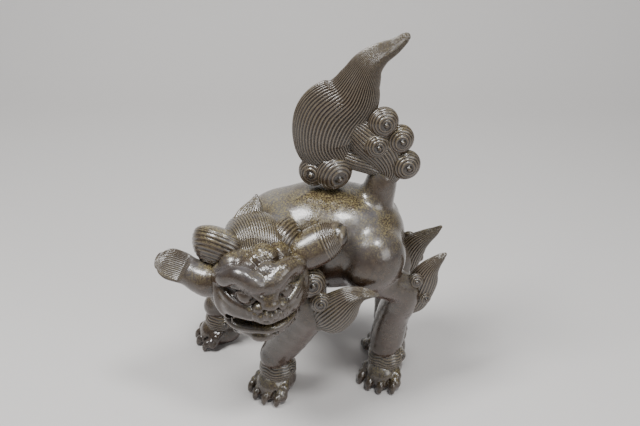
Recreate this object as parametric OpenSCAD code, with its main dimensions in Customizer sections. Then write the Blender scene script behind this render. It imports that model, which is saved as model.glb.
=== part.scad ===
// Guardian lion in unglazed stoneware, crouching with its head turned back.
// Every piece is formed by hand, scored and luted to the next one with slip,
// so each is trimmed to the faces of the pieces that it sits on.
// Frame: +Z up, the lion heads along -Y and its left side is +X.

/* [Torso] */
// Length of the torso, chest to rump
body_length = 168; // [150:1:190]
// Radius of the torso at its widest
body_radius = 53; // [46:1:60]
// Height of the torso's axis above the ground
body_height = 174; // [165:1:190]
// Wall of the hollow torso and head
wall = 7; // [4:0.5:10]
// Radius of the vent under the belly
vent_radius = 6; // [3:0.5:9]

/* [Head] */
// Width of the skull between the ear roots
head_width = 84; // [72:1:94]
// Radius of the skull
head_radius = 42; // [36:1:47]
// Turn of the face from straight ahead, degrees
head_turn = 103; // [92:1:115]
// Nod of the face, degrees
head_nod = 3; // [-5:1:12]
// Tilt of the head, degrees
head_tilt = -2; // [-10:1:6]
// Radius of an eyeball
eye_radius = 8.5; // [6.5:0.5:10]
// Length of an ear
ear_length = 64; // [52:1:76]
// Width of an ear at its spoon
ear_width = 33; // [26:1:40]
// Thickness of an ear
ear_thickness = 22; // [15:1:26]

/* [Legs] */
// Radius of a fore leg's forearm
forearm_radius = 16.5; // [13:0.5:19]
// Radius of the thigh
thigh_radius = 32.5; // [28:0.5:36]
// Radius of the hind leg's cannon
cannon_radius = 15; // [12:0.5:18]
// Width of a paw across its toes
paw_width = 50; // [42:1:58]
// Length of a paw without its claws
paw_length = 44; // [38:1:50]
// Height of a paw at the knuckles
paw_height = 27; // [22:1:32]
// Length of a claw
claw_length = 10; // [8:0.5:13]

/* [Tail] */
// Height of the tail flame from its foot to its tip
flame_height = 138; // [115:1:155]
// Width of the tail flame at its bulge
flame_width = 74; // [60:1:84]
// Thickness of the tail flame
flame_thickness = 36; // [26:1:42]
// Radius of the stem that carries the tail
stem_radius = 10; // [9:0.5:13]
// Radius of the large front curl of the tail
curl_radius = 19; // [16:0.5:22]

/* [Hidden] */
// How far the model is moved so that its box stands centred on the origin
centre_shift = [-25.5, 13.7, 0];
cap_steps = 3;      // bands of a rounded end
side_count = 14;    // sides of a swept section
clay = "#5b5048";
sooty = "#463d38";

// ---- places, all in the lion's own frame ------------------------------------
torso_back = 85;
torso_front = torso_back - body_length;
belly_z = body_height - body_radius;
spine_z = body_height + body_radius;

// Centre of the skull, which hangs beside the chest
head_at = [72, torso_front + 25, body_height - 9];
neck_from = [12, torso_front + 50, body_height + 2];

// Foot of each ankle on the ground plan, and the heading of its toes from -Y, degrees
stance = paw_width * 0.42;
left_fore_at = [34, -45, 0];
right_fore_at = [-52, -112, 0];
left_hind_at = [stance - 6, 71, 0];
right_hind_at = [-stance - 4, 77, 0];
left_fore_turn = 50;
right_fore_turn = 12;
left_hind_turn = 62;
right_hind_turn = -62;

// Height of the wrists and ankles above the ground
wrist_z = 50;
fore_elbow_z = 117;
hock_z = 116;

left_shoulder = [34, -30, body_height - 4];
left_elbow = [58, -10, fore_elbow_z];
right_shoulder = [-28, torso_front + 34, body_height - 14];
right_elbow = [-46, torso_front + 20, fore_elbow_z];
hip_y = torso_back - thigh_radius + 1;
function hip(side) = [side * (body_radius - 20), hip_y, body_height - 6];
function knee(side) = [side * (body_radius - 14), hip_y - 14, body_height - 38];
function hock(side) = [side * (body_radius - 23), torso_back - 2, hock_z];

// ---- shape helpers -----------------------------------------------------------
function lerp(a, b, t) = a + (b - a) * t;
function unit(v) = v / norm(v);

// A point on a smooth curve through p[1] and p[2]
function curve_point(p, t) = 0.5 * ((2 * p[1]) + (p[2] - p[0]) * t
    + (2 * p[0] - 5 * p[1] + 4 * p[2] - p[3]) * t * t
    + (3 * p[1] - p[0] - 3 * p[2] + p[3]) * t * t * t);
// The curve through all points, steps to a span
function smooth(pts, steps) = let (last = len(pts) - 1, ends = concat([2 * pts[0] - pts[1]], pts,
    [2 * pts[last] - pts[last - 1]]))
    concat([for (i = [0 : last - 1], s = [0 : steps - 1])
        curve_point([for (k = [0 : 3]) ends[i + k]], s / steps)], [pts[last]]);

function tangent(path, i) = unit(path[min(i + 1, len(path) - 1)] - path[max(i - 1, 0)]);
function ring(centre, along, side, wide, thick) = let (across = unit(cross(along, side)),
    up = cross(across, along))
    [for (k = [0 : side_count - 1]) let (a = 360 * k / side_count)
        centre + wide * cos(a) * across + thick * sin(a) * up];

thinnest = 0.6;     // the least half width and half thickness at a tip
// A closed sweep: points carry [x, y, z, half width, half thickness], flat side facing "side"
module sweep(points, side, steps = 3) {
    path5 = smooth(points, steps);
    path = [for (p = path5) [p[0], p[1], p[2]]];
    rings = [for (i = [0 : len(path) - 1])
        ring(path[i], tangent(path, i), side, max(path5[i][3], thinnest), max(path5[i][4], thinnest))];
    n = side_count;
    body = [for (i = [0 : len(rings) - 2], k = [0 : n - 1])
        each [[i * n + k, i * n + (k + 1) % n, (i + 1) * n + k],
              [i * n + (k + 1) % n, (i + 1) * n + (k + 1) % n, (i + 1) * n + k]]];
    first = [[for (k = [n - 1 : -1 : 0]) k]];
    last = [[for (k = [0 : n - 1]) (len(rings) - 1) * n + k]];
    polyhedron([for (r = rings, p = r) p], concat(first, body, last));
}

// Turns +Z to point from a to b, and moves to a
module aim(a, b) {
    d = b - a;
    translate(a) rotate([0, acos(d[2] / norm(d)), atan2(d[1], d[0])]) children();
}

// Outline of a rounded bar of length l from radius r1 to r2, swelling by bulge at its middle
function bar_outline(l, r1, r2, bulge) = concat(
    [for (i = [0 : cap_steps]) let (a = -90 + 90 * i / cap_steps) [r1 * cos(a), r1 * sin(a)]],
    bulge == 0 ? [] : [for (t = [1 / 3, 2 / 3]) [lerp(r1, r2, t) + bulge * sin(180 * t), l * t]],
    [for (i = [0 : cap_steps]) let (a = 90 * i / cap_steps) [r2 * cos(a), l + r2 * sin(a)]]);

// A rounded bar between two points
module bar(a, b, r1, r2, bulge = 0) {
    aim(a, b) rotate_extrude($fn = 48)
        polygon([for (p = bar_outline(norm(b - a), r1, r2, bulge)) [max(p[0], 0), p[1]]]);
}

// Outline of an egg of length l and radius r, lying along its axis
egg_steps = 18;
function egg_outline(l, r, skew, blunt) = [for (i = [0 : egg_steps]) let (t = i / egg_steps,
    s = (1 - cos(180 * t)) / 2) [r * pow(max(sin(180 * pow(s, skew)), 0), blunt), l * s]];

// A spiral curl: a ridged dome with a knob, its axis along "out"
curl_ridges = 5;
curl_height = 0.8;     // as a share of the curl's radius
function curl_outline(r, h) = concat(
    [[0, -0.42 * r], [0.62 * r, -0.30 * r], [0.92 * r, -0.08 * r], [r, 0.16 * r]],
    [for (i = [1 : curl_ridges]) let (t = i / (curl_ridges + 1)) each
        [[r * (1 - t) + 0.02 * r, h * pow(t, 0.75)],
         [r * (1 - t) - 0.03 * r, h * pow(t, 0.75) - 0.02 * r]]],
    [[0.10 * r, h], [0, h + 0.06 * r]]);
module curl(at, out, r) {
    aim(at, at + out) rotate_extrude($fn = 48) polygon(curl_outline(r, curl_height * r));
}

// ---- torso and neck ------------------------------------------------------------
module torso_form(inset = 0) {
    translate([0, torso_front + inset, body_height]) rotate([-90, 0, 0]) rotate_extrude($fn = 64)
        polygon(egg_outline(body_length - 2 * inset, body_radius - inset, 1.12, 0.62));
}
module torso_shell() {
    color(clay) difference() {
        torso_form();
        torso_form(wall);
        neck_bore();
        translate([0, torso_front + body_length / 2, belly_z - wall])
            cylinder(r = vent_radius, h = 3 * wall, $fn = 32);
    }
}

chest_radius = 37;
throat_radius = 30;
module neck_form() {
    bar(neck_from, head_at, chest_radius, throat_radius, 2);
}
// The hollow runs from the torso through the neck into the head
module neck_bore() {
    bar(neck_from, head_at, chest_radius - wall, throat_radius - wall, 2);
}
module neck_tube() {
    color(clay) difference() {
        neck_form();
        torso_form();
        skull_placed();
        neck_bore();
    }
}

// ---- head, in its own frame: the face looks along -y ---------------------------
module in_head() {
    translate(head_at) rotate([head_nod, head_tilt, head_turn]) children();
}
skull_lift = 4;
muzzle_at = [0, -head_radius * 0.80, -2];
muzzle_radius = 13;
muzzle_half = head_width * 0.27;
cheek_at = [head_width * 0.39, -head_radius * 0.36, -2];
mouth_at = muzzle_at + [0, 3, -17];
mouth_half = head_width * 0.36;
jaw_at = muzzle_at + [0, 1, -28];
jaw_half = head_width * 0.33;
eye_at = [head_width * 0.20, -head_radius * 0.83, 16.5];
brow_at = [head_width * 0.20, -head_radius * 0.72, 31];
temple_at = [head_width * 0.40, -head_radius * 0.50, 20];
crown_at = [head_width * 0.24, -head_radius * 0.34, 34];

module skull_form(inset = 0) {
    half = head_width / 2 - inset;
    translate([-half, 0, skull_lift]) rotate([0, 90, 0]) rotate_extrude($fn = 64)
        polygon(egg_outline(2 * half, head_radius - inset, 1, 0.5));
}
module mirrored(point) {
    for (side = [-1, 1]) translate([side * point[0], point[1], point[2]]) children();
}
module muzzle_form() {
    bar(muzzle_at - [muzzle_half, 0, 0], muzzle_at + [muzzle_half, 0, 0], muzzle_radius, muzzle_radius, 2.5);
    for (side = [-1, 1])
        bar(muzzle_at + [side * (muzzle_half - 4), 2.5, 1], [side * cheek_at[0], cheek_at[1], cheek_at[2]],
            muzzle_radius - 1.5, muzzle_radius - 3);
}
module brows_form() {
    translate([0, brow_at[1] + 1, brow_at[2] + 4]) sphere(r = 12.5, $fn = 32);
    for (side = [-1, 1])
        bar([side * brow_at[0] * 0.5, brow_at[1], brow_at[2]], [side * temple_at[0], temple_at[1] + 2, brow_at[2]],
            8, 7);
    mirrored(temple_at) sphere(r = 8, $fn = 32);
    mirrored(crown_at) sphere(r = 12, $fn = 32);
    translate([0, crown_at[1] + 3, crown_at[2] + 5]) sphere(r = 13, $fn = 32);
}
module skull_placed() {
    in_head() skull_form();
}
module head_shell() {
    color(clay) difference() {
        in_head() difference() {
            skull_form();
            skull_form(wall);
            eyes_form();
            mouth_form();
        }
        neck_bore();
    }
}
module muzzle() {
    color(clay) in_head() difference() {
        muzzle_form();
        skull_form();
        eyes_form();
        nose_form();
    }
}
module brow() {
    color(clay) in_head() difference() {
        brows_form();
        skull_form();
        eyes_form();
    }
}
// The dark hollow behind the lips, between the muzzle and the jaw
module mouth_form() {
    bar(mouth_at - [mouth_half, -4, 0], mouth_at + [mouth_half, 4, 0], 6.5, 6.5, 1.5);
}
module jaw_form() {
    bar(jaw_at - [jaw_half, -4, 0], jaw_at + [jaw_half, 4, 0], 8, 8, 2);
    bar(jaw_at + [0, 3, -2], jaw_at + [0, 20, 4], 13, 17);
}
module lower_jaw() {
    color(sooty) in_head() difference() {
        jaw_form();
        skull_form();
        mouth_form();
    }
}
module nose_form() {
    at = muzzle_at + [0, -muzzle_radius * 0.95, 5];
    for (side = [-1, 1]) translate(at + [side * 7, 3, -3]) sphere(r = 6.2, $fn = 32);
    translate(at + [0, 1, 3]) sphere(r = 8.5, $fn = 32);
}
module nose() {
    color(clay) in_head() difference() {
        nose_form();
        skull_form();
    }
}
module eyes_form(sides = [-1, 1]) {
    for (side = sides) translate([side * eye_at[0], eye_at[1], eye_at[2]]) sphere(r = eye_radius, $fn = 40);
}
module eyeball(side) {
    color(sooty) in_head() eyes_form([side]);
}
module eyebrow_form(side) {
    bar([side * (eye_at[0] - 9), eye_at[1] - 4, eye_at[2] + eye_radius * 0.75],
        [side * (eye_at[0] + 13), eye_at[1] + 9, eye_at[2] + eye_radius * 1.3], 4.4, 3.8, 1);
}
module eyebrow(side) {
    color(clay) in_head() difference() {
        eyebrow_form(side);
        skull_form();
        brows_form();
        eyes_form([side]);
    }
}
tooth_count = 6;
module teeth(up) {
    base = mouth_at + [0, up ? -10 : -5.5, up ? 6 : -8];
    reach = up ? -8 : 8;
    for (side = [-1, 1]) bar(base + [side * muzzle_half, 1, 0], base + [side * muzzle_half, 0, reach], 2.8, 0.9);
    for (i = [0 : tooth_count - 1]) {
        x = ((i + 0.5) / tooth_count - 0.5) * muzzle_half * 1.55;
        bar(base + [x, 0, 0], base + [x, 0, reach * 0.6], 2.2, 1.5);
    }
}
module upper_teeth() {
    color(clay) in_head() difference() {
        teeth(true);
        muzzle_form();
    }
}
module lower_teeth() {
    color(clay) in_head() difference() {
        teeth(false);
        jaw_form();
    }
}
// The tongue lies on the floor of the mouth
module tongue() {
    color(sooty) in_head() intersection() {
        translate(mouth_at + [0, 0, -4]) sphere(r = 7, $fn = 32);
        mouth_form();
    }
}

// Ears: a rounded root that runs out into a flat spoon on the right, and a fuller roll on the left
left_ear_fullness = 1.15;
ear_root = [head_width / 2 - 7, 2, 13];
left_ear_out = [0.92, 0, 0.38];
right_ear_out = [-0.84, 0.48, 0.10];
function ear_facing(side) = side > 0 ? [-0.2, -0.7, 0.7] : [0, -0.8, 0.6];
module ear_form(side) {
    root = [side * ear_root[0], ear_root[1], ear_root[2]];
    out = unit(side > 0 ? left_ear_out : right_ear_out);
    // Each station: place along the ear, half width and half thickness as shares
    stations = [[-0.12, 0.26, 0.46], [0.02, 0.46, 0.66], [0.20, 0.52, 0.68], [0.46, 0.45, 0.50],
        [0.72, 0.50, 0.36], [0.90, 0.46, 0.28], [1, 0.24, 0.18]];
    sweep([for (s = stations) let (c = root + out * ear_length * s[0])
        [c[0], c[1], c[2], ear_width * s[1] * (side > 0 ? left_ear_fullness : 1), ear_thickness * s[2]]],
        unit(ear_facing(side)), 2);
}
module ear(side) {
    color(clay) difference() {
        in_head() ear_form(side);
        skull_placed();
        if (side > 0) {
            neck_form();
            torso_form();
            shoulder_form(1);
        }
    }
}

// ---- mane ------------------------------------------------------------------------
// The tuft that stands on the crown, as [x, y, z, half width, half thickness]
crest_shape = [[-3, 20, 26, 16, 11], [-4, 32, 38, 17, 11], [-2, 40, 48, 13, 9], [6, 46, 58, 7.5, 6],
    [12, 51, 66, 1.5, 1.5]];
module crest_form() {
    in_head() sweep(crest_shape, unit([0.25, -0.8, 0.5]), 2);
}
module cap_form() {
    in_head() bar([-14, 19, 27], [16, 19, 27], 26, 25, 1);
}
module right_lock_form() {
    in_head() bar([-25, 16, 14], [-27, 32, 26], 22, 23, 1);
}
module left_lock_form() {
    in_head() bar([28, 12, 26], [42, 22, 24], 17, 15, 1);
}
module mane_crest() {
    color(clay) difference() {
        crest_form();
        cap_form();
        right_lock_form();
        skull_placed();
        neck_form();
    }
}
module mane_cap() {
    color(clay) difference() {
        cap_form();
        for (side = [-1, 1]) in_head() ear_form(side);
        skull_placed();
        neck_form();
        torso_form();
    }
}
module right_mane_lock() {
    color(clay) difference() {
        right_lock_form();
        cap_form();
        skull_placed();
        in_head() ear_form(-1);
        neck_form();
        torso_form();
        shoulder_form(-1);
    }
}
module left_mane_lock() {
    color(clay) difference() {
        left_lock_form();
        cap_form();
        skull_placed();
        in_head() ear_form(1);
        neck_form();
        torso_form();
    }
}
// Curl under the left ear, and two under the jaw
module neck_curl() {
    color(clay) difference() {
        curl(head_at + [-6, 49, -6], [0.9, 0.25, 0.2], neck_curl_radius);
        in_head() ear_form(1);
        skull_placed();
        neck_form();
        torso_form();
        shoulder_form(1);
    }
}
neck_curl_radius = 13;
beard_curl_radius = 8;
module beard_curls() {
    color(clay) difference() {
        in_head() for (side = [-1, 1])
            curl(jaw_at + [side * jaw_half * 0.85, 14, -5], [side * 0.7, -0.4, -0.3], beard_curl_radius);
        skull_placed();
        in_head() jaw_form();
        neck_form();
    }
}

// ---- legs ------------------------------------------------------------------------
function fore_at(side) = side > 0 ? left_fore_at : right_fore_at;
function hind_at(side) = side > 0 ? left_hind_at : right_hind_at;
function shoulder_at(side) = side > 0 ? left_shoulder : right_shoulder;
function elbow_at(side) = side > 0 ? left_elbow : right_elbow;
function wrist(at) = at + [0, 0, wrist_z];

module shoulder_form(side) {
    bar(shoulder_at(side), elbow_at(side), forearm_radius * 1.55, forearm_radius * 1.1, 2);
}
module forearm_form(side) {
    bar(elbow_at(side) + [0, 0, -2], wrist(fore_at(side)), forearm_radius * 1.02, forearm_radius * 0.96, 1.2);
}
module shoulder(side) {
    color(clay) difference() {
        shoulder_form(side);
        torso_form();
        neck_form();
        skull_placed();
    }
}
module forearm(side) {
    color(clay) difference() {
        forearm_form(side);
        shoulder_form(side);
        torso_form();
    }
}

module thigh_form(side) {
    bar(hip(side), hip(side) + [side * 4, -6, -12], thigh_radius, thigh_radius * 0.92);
}
module shank_form(side) {
    bar(knee(side), hock(side), cannon_radius * 1.3, cannon_radius * 1.1, 1.5);
}
module cannon_form(side) {
    bar(hock(side), wrist(hind_at(side)), cannon_radius * 1.12, cannon_radius, 0.6);
}
module thigh(side) {
    color(clay) difference() {
        thigh_form(side);
        torso_form();
    }
}
module shank(side) {
    color(clay) difference() {
        shank_form(side);
        thigh_form(side);
        torso_form();
    }
}
module cannon(side) {
    color(clay) difference() {
        cannon_form(side);
        shank_form(side);
        thigh_form(side);
    }
}

// A paw in its own frame: the toes point along -y, the ankle stands over the origin
toe_count = 4;
toe_radius = paw_width / 2 / toe_count * 1.12;
function toe_x(i) = (i - (toe_count - 1) / 2) * (paw_width - 2 * toe_radius) / (toe_count - 1);
function toe_reach(i) = paw_length * 0.62 - 0.020 * toe_x(i) * toe_x(i);
module on_paw(at, turn) {
    translate(at) rotate([0, 0, turn]) children();
}
module paw_local_form() {
    intersection() {
        union() {
            bar([0, paw_length * 0.10, paw_height * 0.52], [0, -paw_length * 0.24, paw_height * 0.44],
                paw_width * 0.32, paw_width * 0.36);
            for (i = [0 : toe_count - 1])
                bar([toe_x(i) * 0.8, -paw_length * 0.22, paw_height * 0.56],
                    [toe_x(i), -toe_reach(i) + toe_radius, paw_height * 0.36], toe_radius * 1.02, toe_radius);
        }
        translate([-paw_width, -2 * paw_length, 0]) cube([2 * paw_width, 4 * paw_length, 3 * paw_height]);
    }
}
module claws_local_form() {
    for (i = [0 : toe_count - 1])
        bar([toe_x(i), -toe_reach(i) + toe_radius * 0.7, paw_height * 0.34],
            [toe_x(i) * 1.04, -toe_reach(i) - claw_length * 0.36, 2.4], toe_radius * 0.66, 2.1, 0.5);
}
module cuff_local_form() {
    bar([0, 2, paw_height * 0.85], [0, 1, wrist_z - 8], paw_width * 0.35, paw_width * 0.34, 1);
}
module paw(at, turn) {
    color(clay) on_paw(at, turn) paw_local_form();
}
module claws(at, turn) {
    color(sooty) on_paw(at, turn) difference() {
        claws_local_form();
        paw_local_form();
    }
}
module cuff(at, turn) {
    color(clay) difference() {
        on_paw(at, turn) cuff_local_form();
        on_paw(at, turn) paw_local_form();
        children();
    }
}

// ---- flames on the elbows and hocks ------------------------------------------------
// Each station: along, up, half width and half thickness
elbow_flame_shape = [[-6, -6, 9, 8], [2, 0, 20, 12], [14, 12, 20, 12], [25, 24, 14, 10], [35, 30, 8, 7],
    [44, 31, 4.5, 4.5], [52, 30, 1.5, 1.5]];
near_hock_shape = [[-2, -7, 7.2, 6.3], [3.4, 3, 12.6, 8.7], [8, 16, 14.3, 9.2], [12, 30, 14.2, 8.9],
    [16, 41, 11, 8], [22, 50, 7, 6], [28, 57, 4, 4], [32, 61, 1.5, 1.5]];
// The far hind leg's flame lies flatter
far_hock_shape = [[-3, -6, 7, 6], [1, 6, 12, 9], [4, 20, 14, 9], [10, 32, 13, 9], [19, 40, 9, 7],
    [28, 46, 5.5, 5], [36, 53, 1.5, 1.5]];
// A flame whose stations run along "along" and climb along "up"
module leaf(root, along, up, shape) {
    sweep([for (s = shape) let (c = root + along * s[0] + up * s[1]) [c[0], c[1], c[2], s[2], s[3]]],
        cross(along, up), 3);
}
function elbow_root(side) = elbow_at(side) + [side * 10, 14, 2];
function elbow_sweep(side) = unit([side * 0.12, 1, 0.02]);
module elbow_flame_form(side) {
    leaf(elbow_root(side), elbow_sweep(side), [0, 0, 1], elbow_flame_shape);
}
function hock_root(side) = hock(side) + [side * 1, 9, -6];
module hock_flame_form(side) {
    leaf(hock_root(side), unit([side * 0.06, 1, 0]), [0, 0, 1], side > 0 ? near_hock_shape : far_hock_shape);
}
module elbow_flame(side) {
    color(clay) difference() {
        elbow_flame_form(side);
        forearm_form(side);
        shoulder_form(side);
        torso_form();
    }
}
module hock_flame(side) {
    color(clay) difference() {
        hock_flame_form(side);
        cannon_form(side);
        shank_form(side);
    }
}
hock_curl_radius = 9;
module hock_curls(side) {
    color(clay) difference() {
        union() {
            curl(hock_root(side) + [side * 8, 5, 34], [side, 0.2, 0.1], hock_curl_radius);
            curl(hock_root(side) + [side * 7, 13, 12], [side, 0.4, 0], hock_curl_radius * 0.85);
        }
        hock_flame_form(side);
        cannon_form(side);
        shank_form(side);
    }
}
elbow_curl_radius = 10;
module elbow_curl(side) {
    color(clay) difference() {
        curl(elbow_root(side) + [side * 4, -4, 22], [side, 0.1, 0.1], elbow_curl_radius);
        elbow_flame_form(side);
        forearm_form(side);
        shoulder_form(side);
        torso_form();
    }
}

// ---- tail --------------------------------------------------------------------------
// The stem rises from the rump, and all other pieces of the tail hang on this point
stem_foot = [0, torso_back - 29, spine_z - 18];
tail_at = [0, torso_back - 26, spine_z + 12];
module stem_form() {
    bar(stem_foot, tail_at, stem_radius * 1.5, stem_radius, -1);
}
module tail_stem() {
    color(clay) difference() {
        stem_form();
        torso_form();
    }
}
module fan_form() {
    bar(tail_at + [0, 2, 12], tail_at + [0, -14, 32], 16, 18, 1);
}
module tail_fan() {
    color(clay) difference() {
        fan_form();
        stem_form();
    }
}
// The flame leans forward, swells, and hooks back to its tip.
// Each station: forward, up, half width and half thickness, as shares of the height and sizes
flame_foot = tail_at + [0, -33, 9];
tail_shape = [[0.065, 0, 0.18, 0.22], [0.083, 0.08, 0.30, 0.36], [0.150, 0.206, 0.41, 0.47],
    [0.108, 0.390, 0.475, 0.50], [-0.02, 0.533, 0.38, 0.46], [-0.08, 0.665, 0.27, 0.38],
    [-0.128, 0.765, 0.205, 0.32], [-0.20, 0.838, 0.15, 0.26], [-0.29, 0.892, 0.105, 0.19],
    [-0.36, 0.95, 0.07, 0.13], [-0.385, 0.98, 0.045, 0.08]];
module flame_form() {
    sweep([for (s = tail_shape) [0, flame_foot[1] - s[0] * flame_height, flame_foot[2] + s[1] * flame_height,
        s[2] * flame_width, s[3] * flame_thickness]], [1, 0, 0], 3);
}
module tail_flame() {
    color(clay) difference() {
        flame_form();
        fan_form();
        stem_form();
    }
}
module front_curl_form() {
    curl([6, tail_at[1] - 46, spine_z + curl_radius * 1.1], [1, 0.45, -0.2], curl_radius);
}
module tail_front_curl() {
    color(clay) difference() {
        front_curl_form();
        torso_form();
        flame_form();
        fan_form();
    }
}
module side_curl_form() {
    curl([0, tail_at[1] - 63, spine_z + curl_radius * 1.05], [-0.7, -0.7, 0.05], curl_radius * 0.85);
}
module tail_side_curl() {
    color(clay) difference() {
        side_curl_form();
        front_curl_form();
        torso_form();
        flame_form();
    }
}
// Curls behind the flame, from the head of the stem: [out, back, up, radius]
back_curls = [[2, 0, 62, 15], [1, 16, 44, 14.5], [6, -6, 40, 13.5], [1, 23, 17, 15]];
hidden_drop = 7;     // the far side's curls sit lower and are smaller
hidden_share = 0.88;
module tail_curls_form(side) {
    share = side > 0 ? 1 : hidden_share;
    drop = side > 0 ? 0 : hidden_drop;
    for (c = back_curls)
        curl(tail_at + [side * (c[3] * 0.4 + c[0]), c[1], c[2] - drop], [side, 0.25, 0.05], c[3] * share);
}
module tail_curls(side) {
    color(clay) difference() {
        intersection() {
            tail_curls_form(side);
            translate([side > 0 ? 0 : -200, -200, 0]) cube([200, 500, 600]);
        }
        flame_form();
        fan_form();
        stem_form();
    }
}

// ---- nodes -----------------------------------------------------------------------------
translate(centre_shift) {
    torso_shell();
    neck_tube();
    head_shell();
    brow();
    muzzle();
    lower_jaw();
    nose();
    eyeball(1);  // left_eyeball
    eyeball(-1);  // right_eyeball
    eyebrow(1);  // left_eyebrow
    eyebrow(-1);  // right_eyebrow
    ear(1);  // left_ear
    ear(-1);  // right_ear
    upper_teeth();
    lower_teeth();
    tongue();
    mane_crest();
    mane_cap();
    right_mane_lock();
    left_mane_lock();
    neck_curl();
    beard_curls();
    shoulder(1);  // left_fore_shoulder
    shoulder(-1);  // right_fore_shoulder
    forearm(1);  // left_fore_forearm
    forearm(-1);  // right_fore_forearm
    paw(left_fore_at, left_fore_turn);  // left_fore_paw
    paw(right_fore_at, right_fore_turn);  // right_fore_paw
    paw(left_hind_at, left_hind_turn);  // left_hind_paw
    paw(right_hind_at, right_hind_turn);  // right_hind_paw
    claws(left_fore_at, left_fore_turn);  // left_fore_claws
    claws(right_fore_at, right_fore_turn);  // right_fore_claws
    claws(left_hind_at, left_hind_turn);  // left_hind_claws
    claws(right_hind_at, right_hind_turn);  // right_hind_claws
    cuff(left_fore_at, left_fore_turn) forearm_form(1);  // left_fore_cuff
    cuff(right_fore_at, right_fore_turn) forearm_form(-1);  // right_fore_cuff
    cuff(left_hind_at, left_hind_turn) cannon_form(1);  // left_hind_cuff
    cuff(right_hind_at, right_hind_turn) cannon_form(-1);  // right_hind_cuff
    thigh(1);  // left_hind_thigh
    thigh(-1);  // right_hind_thigh
    shank(1);  // left_hind_shank
    shank(-1);  // right_hind_shank
    cannon(1);  // left_hind_cannon
    cannon(-1);  // right_hind_cannon
    elbow_flame(1);  // left_elbow_flame
    elbow_flame(-1);  // right_elbow_flame
    hock_flame(1);  // left_hock_flame
    hock_flame(-1);  // right_hock_flame
    hock_curls(1);  // left_hock_curls
    hock_curls(-1);  // right_hock_curls
    elbow_curl(1);  // left_elbow_curl
    elbow_curl(-1);  // right_elbow_curl
    tail_stem();
    tail_fan();
    tail_flame();
    tail_front_curl();
    tail_side_curl();
    tail_curls(1);  // tail_curls_left
    tail_curls(-1);  // tail_curls_right
}
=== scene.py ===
# %% [markdown]
# # A guardian lion in stoneware
# This lesson builds the looks of a pottery guardian lion, nearly 40 cm tall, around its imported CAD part.
# On the real figure all the clay was joined while soft, so the skin runs on over most joins.
# Hair was combed into the wet clay with a toothed tool, and the kiln's ash gave the sheen.

# %% The fixed frame
import bpy
import math
import numpy as np
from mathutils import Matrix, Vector


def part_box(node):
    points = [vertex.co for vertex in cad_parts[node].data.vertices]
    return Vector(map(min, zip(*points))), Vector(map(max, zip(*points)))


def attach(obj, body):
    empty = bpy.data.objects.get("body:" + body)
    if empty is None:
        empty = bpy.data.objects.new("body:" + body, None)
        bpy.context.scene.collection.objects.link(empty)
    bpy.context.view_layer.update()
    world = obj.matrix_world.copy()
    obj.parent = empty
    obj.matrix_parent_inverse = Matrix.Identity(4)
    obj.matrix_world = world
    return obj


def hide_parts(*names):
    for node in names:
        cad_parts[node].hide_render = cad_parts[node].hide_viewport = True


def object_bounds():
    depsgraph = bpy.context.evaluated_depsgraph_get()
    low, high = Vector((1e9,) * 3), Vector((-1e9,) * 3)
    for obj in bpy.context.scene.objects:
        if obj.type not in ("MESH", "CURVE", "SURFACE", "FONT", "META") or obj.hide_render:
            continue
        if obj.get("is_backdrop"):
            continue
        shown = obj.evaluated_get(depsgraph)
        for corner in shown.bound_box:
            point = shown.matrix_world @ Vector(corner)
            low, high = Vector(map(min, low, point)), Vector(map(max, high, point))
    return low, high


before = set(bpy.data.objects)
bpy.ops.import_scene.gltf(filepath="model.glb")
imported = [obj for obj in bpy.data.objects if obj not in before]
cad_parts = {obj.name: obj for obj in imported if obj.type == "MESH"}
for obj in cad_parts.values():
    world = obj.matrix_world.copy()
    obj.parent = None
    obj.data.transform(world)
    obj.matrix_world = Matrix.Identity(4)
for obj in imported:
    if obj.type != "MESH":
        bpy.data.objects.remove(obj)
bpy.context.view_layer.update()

MM = 0.001

# %% [markdown]
# ## Places
# The lesson works in millimetres from the spot on the floor under the lion's own middle line.
# The tail stands on that line, and the front of the chest sets the distance along it.
# Every other place is counted from there, so all pieces land where the CAD part has them.

# %% The lion's own origin
CHEST_FRONT = -83.0     # the torso's front end, along the lion's length


def middle(node):
    """The centre of a CAD node's box, in millimetres."""
    low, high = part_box(node)
    return np.array((low + high) / 2) / MM


home = np.array([middle("tail_stem")[0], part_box("torso_shell")[0].y / MM - CHEST_FRONT, 0.0])


def turned(x=0.0, y=0.0, z=0.0):
    """Rotation by degrees about X, then Y, then Z."""
    a, b, c = (math.radians(v) for v in (x, y, z))
    rx = np.array([[1, 0, 0], [0, math.cos(a), -math.sin(a)], [0, math.sin(a), math.cos(a)]])
    ry = np.array([[math.cos(b), 0, math.sin(b)], [0, 1, 0], [-math.sin(b), 0, math.cos(b)]])
    rz = np.array([[math.cos(c), -math.sin(c), 0], [math.sin(c), math.cos(c), 0], [0, 0, 1]])
    return rz @ ry @ rx


HEAD_TURN = turned(3, -2, 103)
EYE_LOCAL = np.array([0.0, -34.9, 16.5])    # midway between the eyes, in the head's own frame
head_at = (middle("left_eyeball") + middle("right_eyeball")) / 2 - home - HEAD_TURN @ EYE_LOCAL
print("head at", head_at.round(1), "mm from the lion's origin")

# %% [markdown]
# ## Turning numbers into clay
# A large soft form is easiest to describe by its distance field: how far each point is from the clay.
# Adding a ball or a rod with a soft join is then like pressing on a lump and smoothing the seam.
# The skin is read off where the distance is nothing, as one closed mesh of even small quads.

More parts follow.
